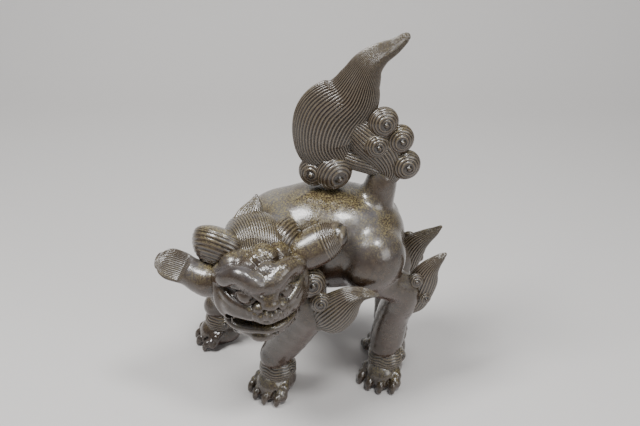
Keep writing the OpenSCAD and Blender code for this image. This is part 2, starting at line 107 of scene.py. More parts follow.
# %% A block of clay
class Clay:
    """A grid of distances that soft shapes are added to and cut from."""

    def __init__(self, low, high, step):
        self.low, self.step = np.array(low, float), step
        count = np.ceil((np.array(high) - self.low) / step).astype(int) + 1
        self.axes = [self.low[i] + step * np.arange(count[i]) for i in range(3)]
        self.field = np.full(count, 60.0, np.float32)

    def window(self, low, high, margin):
        spans = []
        for i in range(3):
            a = np.searchsorted(self.axes[i], low[i] - margin)
            b = np.searchsorted(self.axes[i], high[i] + margin)
            spans.append(slice(a, b))
        grid = [self.axes[i][spans[i]].astype(np.float32) for i in range(3)]
        return tuple(spans), (grid[0][:, None, None], grid[1][None, :, None], grid[2][None, None, :])

    def add(self, shape, soft=3.0):
        distance, low, high = shape
        spans, grid = self.window(low, high, soft + 4 * self.step)
        old, new = self.field[spans], distance(*grid)
        mix = np.clip(0.5 + 0.5 * (new - old) / soft, 0, 1)
        self.field[spans] = new * (1 - mix) + old * mix - soft * mix * (1 - mix)

    def cut(self, shape, soft=1.5):
        distance, low, high = shape
        spans, grid = self.window(low, high, soft + 4 * self.step)
        old, new = self.field[spans], -distance(*grid)
        mix = np.clip(0.5 - 0.5 * (new - old) / soft, 0, 1)
        self.field[spans] = new * (1 - mix) + old * mix + soft * mix * (1 - mix)


def ball(at, size):
    """A ball, or an egg with three half sizes."""
    at = np.asarray(at, float)
    half = np.full(3, float(size)) if np.isscalar(size) else np.asarray(size, float)
    reach = half.max()

    def distance(x, y, z):
        p = [x - at[0], y - at[1], z - at[2]]
        near = np.sqrt((p[0] / half[0]) ** 2 + (p[1] / half[1]) ** 2 + (p[2] / half[2]) ** 2)
        steep = np.sqrt((p[0] / half[0] ** 2) ** 2 + (p[1] / half[1] ** 2) ** 2 + (p[2] / half[2] ** 2) ** 2)
        return (near * (near - 1) / np.maximum(steep, 1e-6)).astype(np.float32)

    return distance, at - reach, at + reach


def rod(a, b, ra, rb):
    """A rounded rod whose radius runs from ra to rb."""
    a, b = np.asarray(a, float), np.asarray(b, float)
    d = b - a
    length2 = max(d @ d, 1e-9)

    def distance(x, y, z):
        t = np.clip(((x - a[0]) * d[0] + (y - a[1]) * d[1] + (z - a[2]) * d[2]) / length2, 0, 1)
        gap = np.sqrt((x - a[0] - t * d[0]) ** 2 + (y - a[1] - t * d[1]) ** 2 + (z - a[2] - t * d[2]) ** 2)
        return (gap - (ra + t * (rb - ra))).astype(np.float32)

    r = max(ra, rb)
    return distance, np.minimum(a, b) - r, np.maximum(a, b) + r


def curve(points, spans):
    """A smooth curve through rows of any width."""
    p = np.asarray(points, float)
    p = np.vstack([2 * p[0] - p[1], p, 2 * p[-1] - p[-2]])
    t = (np.arange(spans) / spans)[:, None]
    rows = []
    for a, b, c, d in zip(p, p[1:], p[2:], p[3:]):
        rows.append(0.5 * (2 * b + (c - a) * t + (2 * a - 5 * b + 4 * c - d) * t * t
                           + (3 * b - a - 3 * c + d) * t ** 3))
    return np.vstack(rows + [p[-2:-1]])


def strand(clay, points, soft=2.0, spans=5, cut=False):
    """Adds or cuts a bent rod through points of x, y, z and radius."""
    path = curve(points, spans)
    for a, b in zip(path, path[1:]):
        (clay.cut if cut else clay.add)(rod(a[:3], b[:3], a[3], b[3]), soft)


# %% [markdown]
# ## Reading the skin off the clay
# Each small cell that the surface passes through gets one point, at the mean of its edge crossings.
# Neighbouring points make quads, so the skin closes on itself with no loose edges.
# A few rounds of evening-out take away the steps of the grid, as a wet sponge does.

# %% Skin of a block
CORNERS = np.array([[i, j, k] for i in (0, 1) for j in (0, 1) for k in (0, 1)])
EDGES = [(a, b) for a in range(8) for b in range(a + 1, 8) if abs(CORNERS[a] - CORNERS[b]).sum() == 1]


def skin(clay, rounds=3):
    """The points and quads of the clay's surface."""
    f = clay.field
    inside = f < 0
    n = np.array(f.shape) - 1
    total = np.zeros(n, np.uint8)
    for i, j, k in CORNERS:
        total += inside[i:n[0] + i, j:n[1] + j, k:n[2] + k]
    cells = np.argwhere((total > 0) & (total < 8))
    number = np.full(n, -1, np.int64)
    number[tuple(cells.T)] = np.arange(len(cells))
    values = np.stack([f[tuple((cells + c).T)] for c in CORNERS], 1)
    points, hits = np.zeros((len(cells), 3)), np.zeros(len(cells))
    for a, b in EDGES:
        crossed = (values[:, a] < 0) != (values[:, b] < 0)
        va, vb = values[crossed, a], values[crossed, b]
        t = (va / (va - vb))[:, None]
        points[crossed] += CORNERS[a] * (1 - t) + CORNERS[b] * t
        hits[crossed] += 1
    points = (cells + points / hits[:, None]) * clay.step + clay.low
    quads = []
    for axis in range(3):
        u, v = (axis + 1) % 3, (axis + 2) % 3
        a = [slice(1, -1)] * 3
        b = [slice(1, -1)] * 3
        a[axis], b[axis] = slice(0, -1), slice(1, None)
        first, second = inside[tuple(a)], inside[tuple(b)]
        at = np.argwhere(first != second) + 1
        at[:, axis] -= 1
        out = first[tuple((at - [0 if i == axis else 1 for i in range(3)]).T)]
        du, dv = np.eye(3, dtype=int)[u], np.eye(3, dtype=int)[v]
        ring = np.stack([number[tuple((at - du - dv).T)], number[tuple((at - dv).T)],
                         number[tuple(at.T)], number[tuple((at - du).T)]], 1)
        ring[~out] = ring[~out][:, ::-1]
        quads.append(ring)
    quads = np.vstack(quads)
    edges = np.vstack([quads[:, [0, 1]], quads[:, [1, 2]], quads[:, [2, 3]], quads[:, [3, 0]]])
    for _ in range(rounds):
        total, count = np.zeros_like(points), np.bincount(edges[:, 0], minlength=len(points))
        for k in range(3):
            total[:, k] = np.bincount(edges[:, 0], points[edges[:, 1], k], len(points))
        points = 0.5 * points + 0.5 * total / count[:, None]
    return points, quads


def normals(points, quads):
    """The outward direction at each point."""
    across = points[quads[:, 2]] - points[quads[:, 0]]
    along = points[quads[:, 3]] - points[quads[:, 1]]
    face = np.cross(across, along)
    total = np.zeros_like(points)
    for c in range(4):
        for k in range(3):
            total[:, k] += np.bincount(quads[:, c], face[:, k], len(points))
    return total / np.maximum(np.linalg.norm(total, axis=1), 1e-9)[:, None]


# %% [markdown]
# ## Stoneware
# The body fires dark brown. Where wood ash lands on upward faces it melts to golden specks
# and a faint silver film, here partly painted sheen of the overhead light. The undersides get no ash and a
# painted red reflected light.
# The combed lines get painted shade, and their crests a pale colour that is partly wear and partly painted
# highlight.

# %% Colours of the fired clay and of painted light and shade
UMBER, BROWN, PALE_BROWN = (0.016, 0.010, 0.006), (0.060, 0.037, 0.021), (0.088, 0.060, 0.037)
# Painted red light reflected from below, laid on down-facing faces.
PAINTED_RED_BOUNCE = (0.056, 0.018, 0.010)
# The silver film is partly ash film and partly painted sheen of the overhead light; the gold is real ash.
SILVER_FILM_AND_SHEEN, ASH_GOLD = (0.175, 0.18, 0.20), (0.27, 0.225, 0.105)
# Pits are the clay's own; the pale edge colour is partly wear and partly painted highlight; the hollow colour
# is painted shade.
PIT, EDGE_WEAR_AND_HIGHLIGHT, PAINTED_HOLLOW_SHADE = (0.03, 0.02, 0.014), (0.24, 0.19, 0.12), (0.018, 0.011, 0.008)
# The pale crest colour is partly wear and partly painted highlight; the line colour is painted shade in the
# comb grooves.
CREST_WEAR_AND_HIGHLIGHT, PAINTED_GROOVE_SHADE = (0.185, 0.150, 0.100), (0.009, 0.006, 0.004)

# %% [markdown]
# The finish is built up in layers: the clay's own browns, painted red reflected light underneath, then silver
# film (partly painted sheen) and ash on the upper sides, then pits, pale edges (partly wear, partly painted
# highlight) and painted shade in hollows, and last the comb lines, which each piece marks along its grooves:
# pale crests, partly wear and partly painted highlight, and painted shade in the lines.

# %% Finishes
def stoneware(name, dark=0.0):
    """A finish of mixed browns and ash, with painted reflected light, sheen, shade and highlight. More dark
    means less ash, silver film and crest highlight.
    """
    made = bpy.data.materials.new(name)
    made.use_nodes = True
    nodes, links = made.node_tree.nodes, made.node_tree.links
    shader = nodes["Principled BSDF"]

    def noise(scale, detail=4.0, rough=0.55, lift=0.0):
        n = nodes.new("ShaderNodeTexNoise")
        n.inputs["Scale"].default_value = scale
        n.inputs["Detail"].default_value = detail
        n.inputs["Roughness"].default_value = rough
        n.inputs["Distortion"].default_value = lift
        links.new(place.outputs["Object"], n.inputs["Vector"])
        return n.outputs["Fac"]

    def between(value, low, high, a=0.0, b=1.0):
        m = nodes.new("ShaderNodeMapRange")
        m.inputs["From Min"].default_value = low
        m.inputs["From Max"].default_value = high
        m.inputs["To Min"].default_value = a
        m.inputs["To Max"].default_value = b
        links.new(value, m.inputs["Value"])
        return m.outputs["Result"]

    def times(a, b):
        m = nodes.new("ShaderNodeMath")
        m.operation = "MULTIPLY"
        links.new(a, m.inputs[0])
        if isinstance(b, float):
            m.inputs[1].default_value = b
        else:
            links.new(b, m.inputs[1])
        return m.outputs["Value"]

    def blend(share, a, b):
        m = nodes.new("ShaderNodeMix")
        m.data_type = "RGBA"
        links.new(share, m.inputs["Factor"])
        for socket, value in ((m.inputs["A"], a), (m.inputs["B"], b)):
            if isinstance(value, tuple):
                socket.default_value = (*value, 1)
            else:
                links.new(value, socket)
        return m.outputs["Result"]

    place = nodes.new("ShaderNodeTexCoord")
    geometry = nodes.new("ShaderNodeNewGeometry")
    split = nodes.new("ShaderNodeSeparateXYZ")
    links.new(geometry.outputs["Normal"], split.inputs["Vector"])
    groove = nodes.new("ShaderNodeAttribute")
    groove.attribute_name = "groove"
    up = between(split.outputs["Z"], 0.15, 0.85)
    under = between(split.outputs["Z"], 0.0, -0.7)
    base = blend(noise(28, 5), UMBER, BROWN)
    base = blend(times(between(noise(210, 3), 0.45, 0.7), 0.5), base, PALE_BROWN)
    # Painted red reflected light on down-facing faces.
    base = blend(times(under, 0.75), base, PAINTED_RED_BOUNCE)
    # Silver film on upward faces: partly ash film, partly painted sheen of the overhead light.
    film_and_sheen = times(times(between(noise(22, 3, 0.5, 0.6), 0.42, 0.66), up), 0.48 * (1 - dark))
    base = blend(film_and_sheen, base, SILVER_FILM_AND_SHEEN)
    patch = times(between(noise(15, 4, 0.6, 0.4), 0.41, 0.54), up)
    specks = between(noise(620, 4, 0.8), 0.49, 0.55)
    base = blend(times(times(patch, specks), 0.80 * (1 - dark)), base, ASH_GOLD)
    pits = between(noise(520, 3, 0.7), 0.60, 0.68)
    base = blend(times(pits, 0.6), base, PIT)
    # Sharp edges paler: partly wear, partly painted highlight.
    edge_wear_and_highlight = between(geometry.outputs["Pointiness"], 0.52, 0.60)
    base = blend(times(edge_wear_and_highlight, 0.45), base, EDGE_WEAR_AND_HIGHLIGHT)
    # Painted shade in hollows.
    hollow_shade = between(geometry.outputs["Pointiness"], 0.495, 0.42)
    base = blend(times(hollow_shade, 0.75), base, PAINTED_HOLLOW_SHADE)
    # Comb crests paler: partly wear, partly painted highlight.
    crest = between(groove.outputs["Fac"], 0.0, -0.28)
    base = blend(times(crest, 0.55 * (1 - dark)), base, CREST_WEAR_AND_HIGHLIGHT)
    # Painted shade in the comb lines.
    groove_shade = between(groove.outputs["Fac"], 0.18, 0.6)
    base = blend(times(groove_shade, 0.8), base, PAINTED_GROOVE_SHADE)
    links.new(base, shader.inputs["Base Color"])
    links.new(between(noise(75, 4), 0.3, 0.7, 0.15, 0.33), shader.inputs["Roughness"])
    shader.inputs["Specular IOR Level"].default_value = 0.75
    shader.inputs["Coat Weight"].default_value = 0.5
    shader.inputs["Coat Roughness"].default_value = 0.12
    fine = nodes.new("ShaderNodeBump")
    fine.inputs["Strength"].default_value = 0.28
    fine.inputs["Distance"].default_value = 0.0006
    links.new(noise(900, 3, 0.6), fine.inputs["Height"])
    broad = nodes.new("ShaderNodeBump")
    broad.inputs["Strength"].default_value = 0.35
    broad.inputs["Distance"].default_value = 0.0015
    links.new(noise(95, 3, 0.5), broad.inputs["Height"])
    links.new(fine.outputs["Normal"], broad.inputs["Normal"])
    links.new(broad.outputs["Normal"], shader.inputs["Normal"])
    return made


FINISH = {"stoneware": stoneware("stoneware"), "stoneware_dark": stoneware("stoneware_dark", 0.7)}


def piece(name, points, faces, stands_for, slot="stoneware", groove=None):
    """One closed mesh, in place on the frame."""
    mesh = bpy.data.meshes.new(name)
    mesh.from_pydata(((np.asarray(points) + home) * MM).tolist(), [], [list(map(int, f)) for f in faces])
    mesh.polygons.foreach_set("use_smooth", np.ones(len(mesh.polygons), bool))
    lines = mesh.attributes.new("groove", "FLOAT", "POINT")
    lines.data.foreach_set("value", np.zeros(len(points)) if groove is None else groove)
    mesh.materials.append(FINISH[slot])
    made = bpy.data.objects.new(name, mesh)
    bpy.context.scene.collection.objects.link(made)
    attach(made, "root")
    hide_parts(*stands_for)
    print(name, len(points), "points,", len(faces), "faces")
    return made


# %% [markdown]
# ## Body and legs
# Torso, neck, shoulders, haunches and legs were luted together and smoothed over, so here they are
# one skin that stands for many CAD pieces. The joins stay readable as soft creases.
# Each leg ends in a rounded lip that hangs over the hair collar of its paw.

# %% The smooth skin
PAWS = {"left_fore": ([34, -45, 0], 50), "right_fore": ([-52, -112, 0], 12),
        "left_hind": ([15, 71, 0], 62), "right_hind": ([-25, 77, 0], -62)}
body = Clay([-78, -150, 22], [112, 104, 262], 1.25)
for at, r in (([0, -41, 174], 39.5), ([0, -14, 174.5], 49), ([0, 6, 174], 52.2), ([0, 26, 174], 50),
              ([0, 42, 173], 43)):
    body.add(ball(at, r), 16)
strand(body, [[-6, -40, 178, 37], [30, -46, 174, 35], [66, -56, 164, 29]], 10, 2)
for shoulder, elbow, wrist in (([34, -30, 170], [58, -10, 117], [34, -45, 50]),
                               ([-28, -49, 160], [-46, -63, 117], [-52, -112, 50])):
    strand(body, [[*shoulder, 25], [*(np.array(shoulder) * 0.4 + np.array(elbow) * 0.6), 21.5],
                  [*elbow, 17.5]], 8, 2)
    strand(body, [[*elbow, 17], [*(np.array(elbow) * 0.45 + np.array(wrist) * 0.55), 17.8], [*wrist, 16.4]],
           4, 3)
for side in (-1, 1):
    hip, foot = [33 * side, 51.5, 169], PAWS["left_hind" if side > 0 else "right_hind"][0]
    body.add(ball(hip, [31, 33, 33]), 6)
    body.add(ball([38 * side, 49, 160], [27, 30, 27]), 4)
    strand(body, [[37 * side, 56, 146, 20], [36 * side, 72, 138, 16.5], [34 * side, 84, 128, 15.6],
                  [31.5 * side, 81, 112, 16.2], [(60 * side + foot[0]) / 3, 76, 94, 16.2],
                  [foot[0] + 4 * side, foot[1] + 1, 64, 16.8], [*foot[:2], 50, 16]], 3.5, 3)
strand(body, [[0, 46, 200, 18], [0, 54, 214, 13.5], [0, 59, 226, 10.2], [0, 61, 242, 11.0]], 10, 3)
for at, turn in PAWS.values():
    toward = turned(z=turn) @ np.array([0, -1.0, 0])
    body.add(ball(np.array(at) + toward * 5.5 + [0, 0, 48], [14.5, 14.5, 14]), 3)
points, quads = skin(body, 4)
SMOOTH_NODES = ["torso_shell", "neck_tube", "tail_stem"] + [
    f"{leg}_{part}" for leg in ("left_fore", "right_fore") for part in ("shoulder", "forearm")] + [
    f"{leg}_{part}" for leg in ("left_hind", "right_hind") for part in ("thigh", "shank", "cannon")]
piece("body_skin", points, quads, SMOOTH_NODES)

# %% [markdown]
# ## Paws
# Each paw is a pad with four toes, a knuckle on each toe, and a thick blunt claw.
# The clay between the toes was cut back with a wooden tool, and claws were rolled separately.
# One paw is modelled, then set down four times, turned the way its leg stands.

# %% Paws and claws
TOES = [-18.0, -6.2, 6.2, 18.0]


def toe_reach(x):
    """How far forward a toe stands; the outer ones stand back."""
    return 27.3 - 0.02 * x * x


paw = Clay([-30, -36, -3], [30, 24, 46], 0.75)
paw.add(rod([0, 5, 14], [0, -9, 12], 16.5, 17.5), 4)
paw.add(rod([0, 2, 22], [0, 2, 38], 15.5, 15), 5)
for x in TOES:
    reach = toe_reach(x)
    paw.add(rod([0.7 * x, -8, 16], [x, -reach + 6.5, 9], 6.2, 6.6), 1.2)
    paw.add(ball([0.94 * x, -reach + 11.5, 15.2], [5.9, 5.6, 5.6]), 1.4)
    paw.add(rod([0.45 * x, 0, 25], [0.85 * x, -reach + 16, 18], 4.0, 4.4), 1.6)
    paw.add(ball([x, -reach + 5.2, 10.5], [5.8, 5.2, 5.4]), 1.0)
for x in (-12.2, 0, 12.2):
    strand(paw, [[0.7 * x, -7, 24, 0.8], [x, -15, 17, 1.2], [1.03 * x, -23, 9, 1.3], [1.03 * x, -25, 2, 1.3]],
           1.2, 3, cut=True)
paw.field = np.maximum(paw.field, 0.2 - paw.axes[2][None, None, :].astype(np.float32))
paw_points, paw_quads = skin(paw, 2)
paw_points[:, 2] = np.maximum(paw_points[:, 2], 0.0)
nails = Clay([-30, -44, -2], [30, 0, 20], 0.6)
for x in TOES:
    reach = toe_reach(x)
    strand(nails, [[x, -reach + 5, 11.5, 3.6], [1.02 * x, -reach - 0.5, 8.6, 3.9],
                   [1.04 * x, -reach - 3.0, 3.6, 2.6]], 0.8, 3)
nails.field = np.maximum(nails.field, 0.2 - nails.axes[2][None, None, :].astype(np.float32))
nail_points, nail_quads = skin(nails, 1)
nail_points[:, 2] = np.maximum(nail_points[:, 2], 0.0)
for leg, (at, turn) in PAWS.items():
    piece(f"{leg}_paw_skin", paw_points @ turned(z=turn).T + at, paw_quads, [f"{leg}_paw"])
    piece(f"{leg}_nails", nail_points @ turned(z=turn).T + at, nail_quads, [f"{leg}_claws"], "stoneware_dark")

# %% [markdown]
# ## Combed locks
# Manes, flames and tail are rolls of clay combed lengthwise. Each lock is a ring carried along a curve,
# with one rounded ridge per tooth of the comb and a sharp line between ridges.
# The lines draw closer where the lock narrows, as they do when a comb follows the clay.

# %% Rings into faces
COMB_ROUND = 0.8        # how round a ridge is between two sharp lines; 1 would be a plain sine arch
CREST = 1.3             # ridge to shade: lines get +1 and crests get 1 - CREST


def ring_faces(rows, n, inward=False):
    """Quads between rings of n points, and a fan to one end point at each end."""
    i, k = np.meshgrid(np.arange(rows - 1), np.arange(n), indexing="ij")
    i, k = i.ravel(), k.ravel()
    j = (k + 1) % n
    quads = np.stack([i * n + k, i * n + j, (i + 1) * n + j, (i + 1) * n + k], 1)
    q = np.arange(n)
    after, last = (q + 1) % n, (rows - 1) * n
    first_fan = np.stack([np.full(n, rows * n), after, q], 1)
    last_fan = np.stack([np.full(n, rows * n + 1), last + q, last + after], 1)
    if inward:
        quads, first_fan, last_fan = quads[:, [0, 3, 2, 1]], first_fan[:, [0, 2, 1]], last_fan[:, [0, 2, 1]]
    return quads.tolist() + first_fan.tolist() + last_fan.tolist()


# %% [markdown]
# A lock is swept along its stations and a snail is turned round its own axis.
# Ridges press into the ring from outside, so the widest size stays the one that is given.

# %% Lock and curl makers
def lock(stations, side, ridges, depth=0.8, spans=14, comb=(0.0, 1.0), cup=0.0, face_only=False, bands=0):
    """A combed roll through stations of x, y, z, half width and half thickness."""
    path = curve(stations, spans)
    centre, wide, thick = path[:, :3], np.maximum(path[:, 3], 0.4), np.maximum(path[:, 4], 0.4)
    along = np.gradient(centre, axis=0)
    along /= np.linalg.norm(along, axis=1)[:, None]
    caps = np.radians([82, 68, 52, 36, 18])
    head = [centre[0] - along[0] * min(wide[0], thick[0]) * math.sin(a) for a in caps]
    tail = [centre[-1] + along[-1] * min(wide[-1], thick[-1]) * math.sin(a) for a in caps[::-1]]
    shrink = np.concatenate([np.cos(caps), np.ones(len(centre)), np.cos(caps[::-1])])
    pick = np.clip(np.arange(-5, len(centre) + 5), 0, len(centre) - 1)
    centre = np.vstack([head, centre, tail])
    wide, thick, along = wide[pick] * shrink, thick[pick] * shrink, along[pick]
    across = np.cross(along, side)
    across /= np.linalg.norm(across, axis=1)[:, None]
    up = np.cross(across, along)
    fine = np.linspace(0, 2 * math.pi, 721)
    flat = np.mean(thick / wide)
    steps = np.hypot(np.diff(np.cos(fine)), flat * np.diff(np.sin(fine)))
    arc = np.concatenate([[0], np.cumsum(steps)]) / steps.sum()
    n = ridges * 9
    share = np.arange(n) / n
    angle = np.interp(share, arc, fine)[None, :]
    s = np.linspace(0, 1, len(centre))[:, None]
    start, end = comb
    if bands:
        ripple = bands * (s - start) / (end - start) + 0.8 * np.cos(angle)
    else:
        ripple = ridges * share[None, :]
    ridge = np.abs(np.sin(math.pi * ripple)) ** COMB_ROUND
    fade = np.clip((s - start) / 0.08 + (start <= 0), 0, 1) * np.clip((end - s) / 0.08 + (end >= 1), 0, 1)
    if face_only:
        fade = fade * np.clip(np.sin(angle) * 3, 0, 1)
    pitch = math.pi * (wide + thick)[:, None] / ridges
    press = depth * (1 if bands else np.minimum(1, pitch / 2.4)) * fade
    nx, ny = np.cos(angle) / wide[:, None], np.sin(angle) / thick[:, None]
    size = np.hypot(nx, ny)
    push = press * (ridge - 1)
    hollow = cup * np.clip(np.sin(angle), 0, 1) ** 0.5 * (1 - np.abs(np.cos(angle)) ** 3) * fade
    x = wide[:, None] * np.cos(angle) + nx / size * push
    y = thick[:, None] * (np.sin(angle) - hollow) + ny / size * push
    points = (centre[:, None, :] + x[..., None] * across[:, None, :] + y[..., None] * up[:, None, :])
    rows = len(centre)
    points = np.vstack([points.reshape(-1, 3), centre[0] - along[0] * 0.05, centre[-1] + along[-1] * 0.05])
    groove = np.append(((1 - CREST * ridge) * np.minimum(1, press / 0.3)).ravel(), [0, 0])
    return points, ring_faces(rows, n), groove


def whorl(at, out, r, turns=4.0, hand=1, depth=0.75, tall=0.8, knob=0.2):
    """A snail of combed hair with a bead at its middle."""
    out = np.asarray(out, float) / np.linalg.norm(out)
    helper = np.array([0, 0, 1.0]) if abs(out[2]) < 0.9 else np.array([0, 1.0, 0])
    a = np.cross(helper, out)
    a /= np.linalg.norm(a)
    b = np.cross(out, a)
    n, rows = 72, 64
    tilt = np.linspace(0.02, math.pi - 0.05, rows)[:, None]
    angle = (2 * math.pi * np.arange(n) / n)[None, :]
    radius = r * np.sin(tilt)
    height = np.where(tilt < math.pi / 2, tall * r, 0.45 * r) * np.cos(tilt)
    share = tilt / (math.pi / 2)
    ridge = np.abs(np.sin(math.pi * (turns * share + hand * angle / (2 * math.pi)))) ** COMB_ROUND
    fade = np.clip((share - knob) / 0.06, 0, 1) * np.clip((1.35 - share) / 0.2, 0, 1)
    moat = np.exp(-((share - knob * 1.05) / 0.05) ** 2)
    push = depth * fade * (ridge - 1) - 0.9 * depth * moat
    bead = 0.10 * r * np.clip(1 - (share / knob) ** 2, 0, 1) ** 0.5
    x = (radius + push * np.sin(tilt)) * np.cos(angle)
    y = (radius + push * np.sin(tilt)) * np.sin(angle)
    z = height + push * np.cos(tilt) * (tilt < math.pi / 2) + bead
    points = np.asarray(at, float) + x[..., None] * a + y[..., None] * b + z[..., None] * out
    points = np.vstack([points.reshape(-1, 3), at + out * (tall + 0.1) * r, at - out * 0.45 * r])
    groove = np.append(np.clip((1 - CREST * ridge) * fade + moat, 1 - CREST, 1).ravel(), [0, 0])
    return points, ring_faces(rows, n, inward=True), groove


def several(parts):
    """Many closed meshes as one piece."""
    points, faces, groove, base = [], [], [], 0
    for p, f, g in parts:
        points.append(p)
        faces += [[v + base for v in face] for face in f]
        groove.append(g)
        base += len(p)
    return np.vstack(points), faces, np.concatenate(groove)


def hair(name, parts, stands_for, slot="stoneware"):
    """One piece made of one or more combed rolls or snails."""
    points, faces, groove = several(parts)
    piece(name, points, faces, stands_for, slot, groove)


# %% [markdown]
# ## Hair collars
# Above each paw hangs a short collar of combed hair that ends in a small snail on either side.
# It flares over the top of the paw, with its lines running round the leg.

# %% Collars
def skirt(at, way, top, foot, rings=6, depth=0.7):
    """A flared collar with comb lines round it, closed under and inside."""
    n, rows = 120, 56
    v = np.linspace(0, 1, rows)[:, None]
    angle = (2 * math.pi * np.arange(n) / n)[None, :]
    front = np.clip(-np.sin(angle), 0, 1)
    ripple = rings * v + 0.35 * np.sin(3 * angle) + 0.2 * np.sin(7 * angle)
    ridge = np.abs(np.sin(math.pi * ripple)) ** COMB_ROUND
    outer = top[0] + (foot[0] - top[0]) * v ** 0.8 + 2.2 * np.sin(math.pi * v) + 1.6 * front * v
    outer = outer + depth * (ridge - 1) * np.clip(v * 9, 0, 1)
    height = top[1] + (foot[1] - top[1]) * v - 2.5 * front * v + 0.5 * np.sin(9 * angle) * v ** 3
    inner = np.stack([foot[0] - 3 + 0 * angle, foot[0] - 7 + 0 * angle, top[0] - 5 + 0 * angle])[:, 0, :]
    inner_z = np.stack([height[-1] - 0.8, height[-1] + 1.0, np.full(n, top[1] - 0.5)])
    radius, z = np.vstack([outer, inner]), np.vstack([height, inner_z])
    local = np.stack([radius * np.cos(angle), radius * np.sin(angle) + 1.0, z], -1).reshape(-1, 3)
    total = rows + 3
    i, k = np.meshgrid(np.arange(total), np.arange(n), indexing="ij")
    i, k = i.ravel(), k.ravel()
    j, below = (k + 1) % n, (i + 1) % total
    faces = np.stack([i * n + k, below * n + k, below * n + j, i * n + j], 1).tolist()
    groove = np.vstack([1 - CREST * ridge, np.zeros((3, n))]).ravel()
    return local @ way.T + at, faces, groove


for leg, (at, turn) in PAWS.items():
    way = turned(z=turn)
    parts = [skirt(at, way, (15.4, 42), (18.2, 25))]
    for side in (-1, 1):
        spot = way @ np.array([side * 14.8, 2.5, 33]) + at
        parts.append(whorl(spot, way @ np.array([side, -0.35, 0.15]), 7.6, 4, side, 0.7, knob=0.16))
    hair(f"{leg}_collar", parts, [f"{leg}_cuff"])

# %% [markdown]
# ## Tail
# The tail is a tall flame that leans toward the head and hooks back at its tip, over a cluster of snails.
# The potter combed it in one sweep from the root, so the lines follow its bulge and gather at the neck.

# %% Tail flame and curls
TAIL = np.array([0, 59.0, 239.0])
FLAME_FOOT, FLAME_TALL, FLAME_WIDE, FLAME_THICK = np.array([0, 26.0, 248.0]), 138.0, 74.0, 36.0
FLAME = [[0.065, 0, 0.18, 0.22], [0.083, 0.08, 0.30, 0.36], [0.150, 0.206, 0.41, 0.47],
         [0.108, 0.39, 0.475, 0.50],
         [-0.02, 0.533, 0.38, 0.46], [-0.08, 0.665, 0.27, 0.38], [-0.128, 0.765, 0.205, 0.32],
         [-0.20, 0.838, 0.15, 0.26], [-0.29, 0.892, 0.105, 0.19], [-0.36, 0.95, 0.07, 0.13],
         [-0.378, 0.965, 0.05, 0.09]]
flame = [[0, FLAME_FOOT[1] - f * FLAME_TALL, FLAME_FOOT[2] + u * FLAME_TALL, w * FLAME_WIDE, t * FLAME_THICK]
         for f, u, w, t in FLAME]
hair("tail_flame_hair", [lock(flame, np.array([1.0, 0, 0]), 54, 1.25, 16)], ["tail_flame"])
hair("tail_fan_hair", [lock([[0, 62, 236, 11, 11], [0, 67, 250, 16, 14], [0, 60, 268, 22, 18],
                             [0, 44, 284, 22, 18],
                             [0, 30, 296, 16, 14]], np.array([1.0, 0, 0]), 38, 0.9, 10),
                       lock([[0, 66, 246, 10, 10], [0, 48, 256, 13, 12], [0, 30, 262, 13, 12],
                             [0, 16, 268, 10, 10]],
                            np.array([1.0, 0, 0]), 26, 0.9, 10)], ["tail_fan"])
hair("tail_front_snail", [whorl([6, 13, 248], [1, 0.45, -0.2], 19, 7.5, 1, 1.0, knob=0.13)],
     ["tail_front_curl"])
hair("tail_side_snail", [whorl([0, -4, 247], [-0.7, -0.7, 0.05], 16, 6.5, 1, 0.9, knob=0.13),
                         whorl([3, -6, 247], [0.9, -0.25, 0.05], 15, 6.5, -1, 0.9, knob=0.13)],
     ["tail_side_curl"])
BACK = [[2, 0, 62, 15], [1, 16, 44, 14.5], [6, -6, 40, 13.5], [1, 23, 17, 15]]
for side, node in ((1, "tail_curls_left"), (-1, "tail_curls_right")):
    drop, less = (0, 1.0) if side > 0 else (7, 0.88)
    hair(node + "_snails", [whorl(TAIL + [side * (r * 0.4 + o), b, u - drop], [side, 0.25, 0.05], r * less,
                                  6.5,
                                  side * (-1 if q % 2 else 1), 0.95, knob=0.13) for q,
                            (o, b, u, r) in enumerate(BACK)], [node])

# %% [markdown]
# ## Flames on the legs
# A comma of hair springs from each elbow and each hock and ends in a curled point.
# The fat end of the comma is rolled into a snail, and the lines run from it to the tip.

# %% Elbow and hock flames
ELBOW = [[-6, -6, 9, 8], [2, 0, 20, 12], [14, 12, 20, 12], [25, 24, 14, 10], [35, 30, 8, 7],
         [44, 31, 4.5, 4.5],
         [52, 30, 1.5, 1.5]]
NEAR_HOCK = [[-3, -8, 7, 6], [3, 2, 13, 9], [8, 16, 14.5, 9], [12, 30, 14.5, 9], [16, 41, 11, 8],
             [22, 50, 7, 6],
             [28, 57, 4, 4], [31, 60, 2, 2]]
FAR_HOCK = [[-3, -6, 7, 6], [1, 6, 12, 9], [4, 20, 14, 9], [10, 32, 13, 9], [19, 40, 9, 7], [28, 46, 5.5, 5],
            [35, 52, 2, 2]]


def leaf(root, along, shape):
    """The stations of a flame that runs along a direction and climbs."""
    along = np.asarray(along, float) / np.linalg.norm(along)
    rows = [[*(root + along * a + np.array([0, 0, 1.0]) * u), w, t] for a, u, w, t in shape]
    return rows, np.cross(along, [0, 0, 1.0])


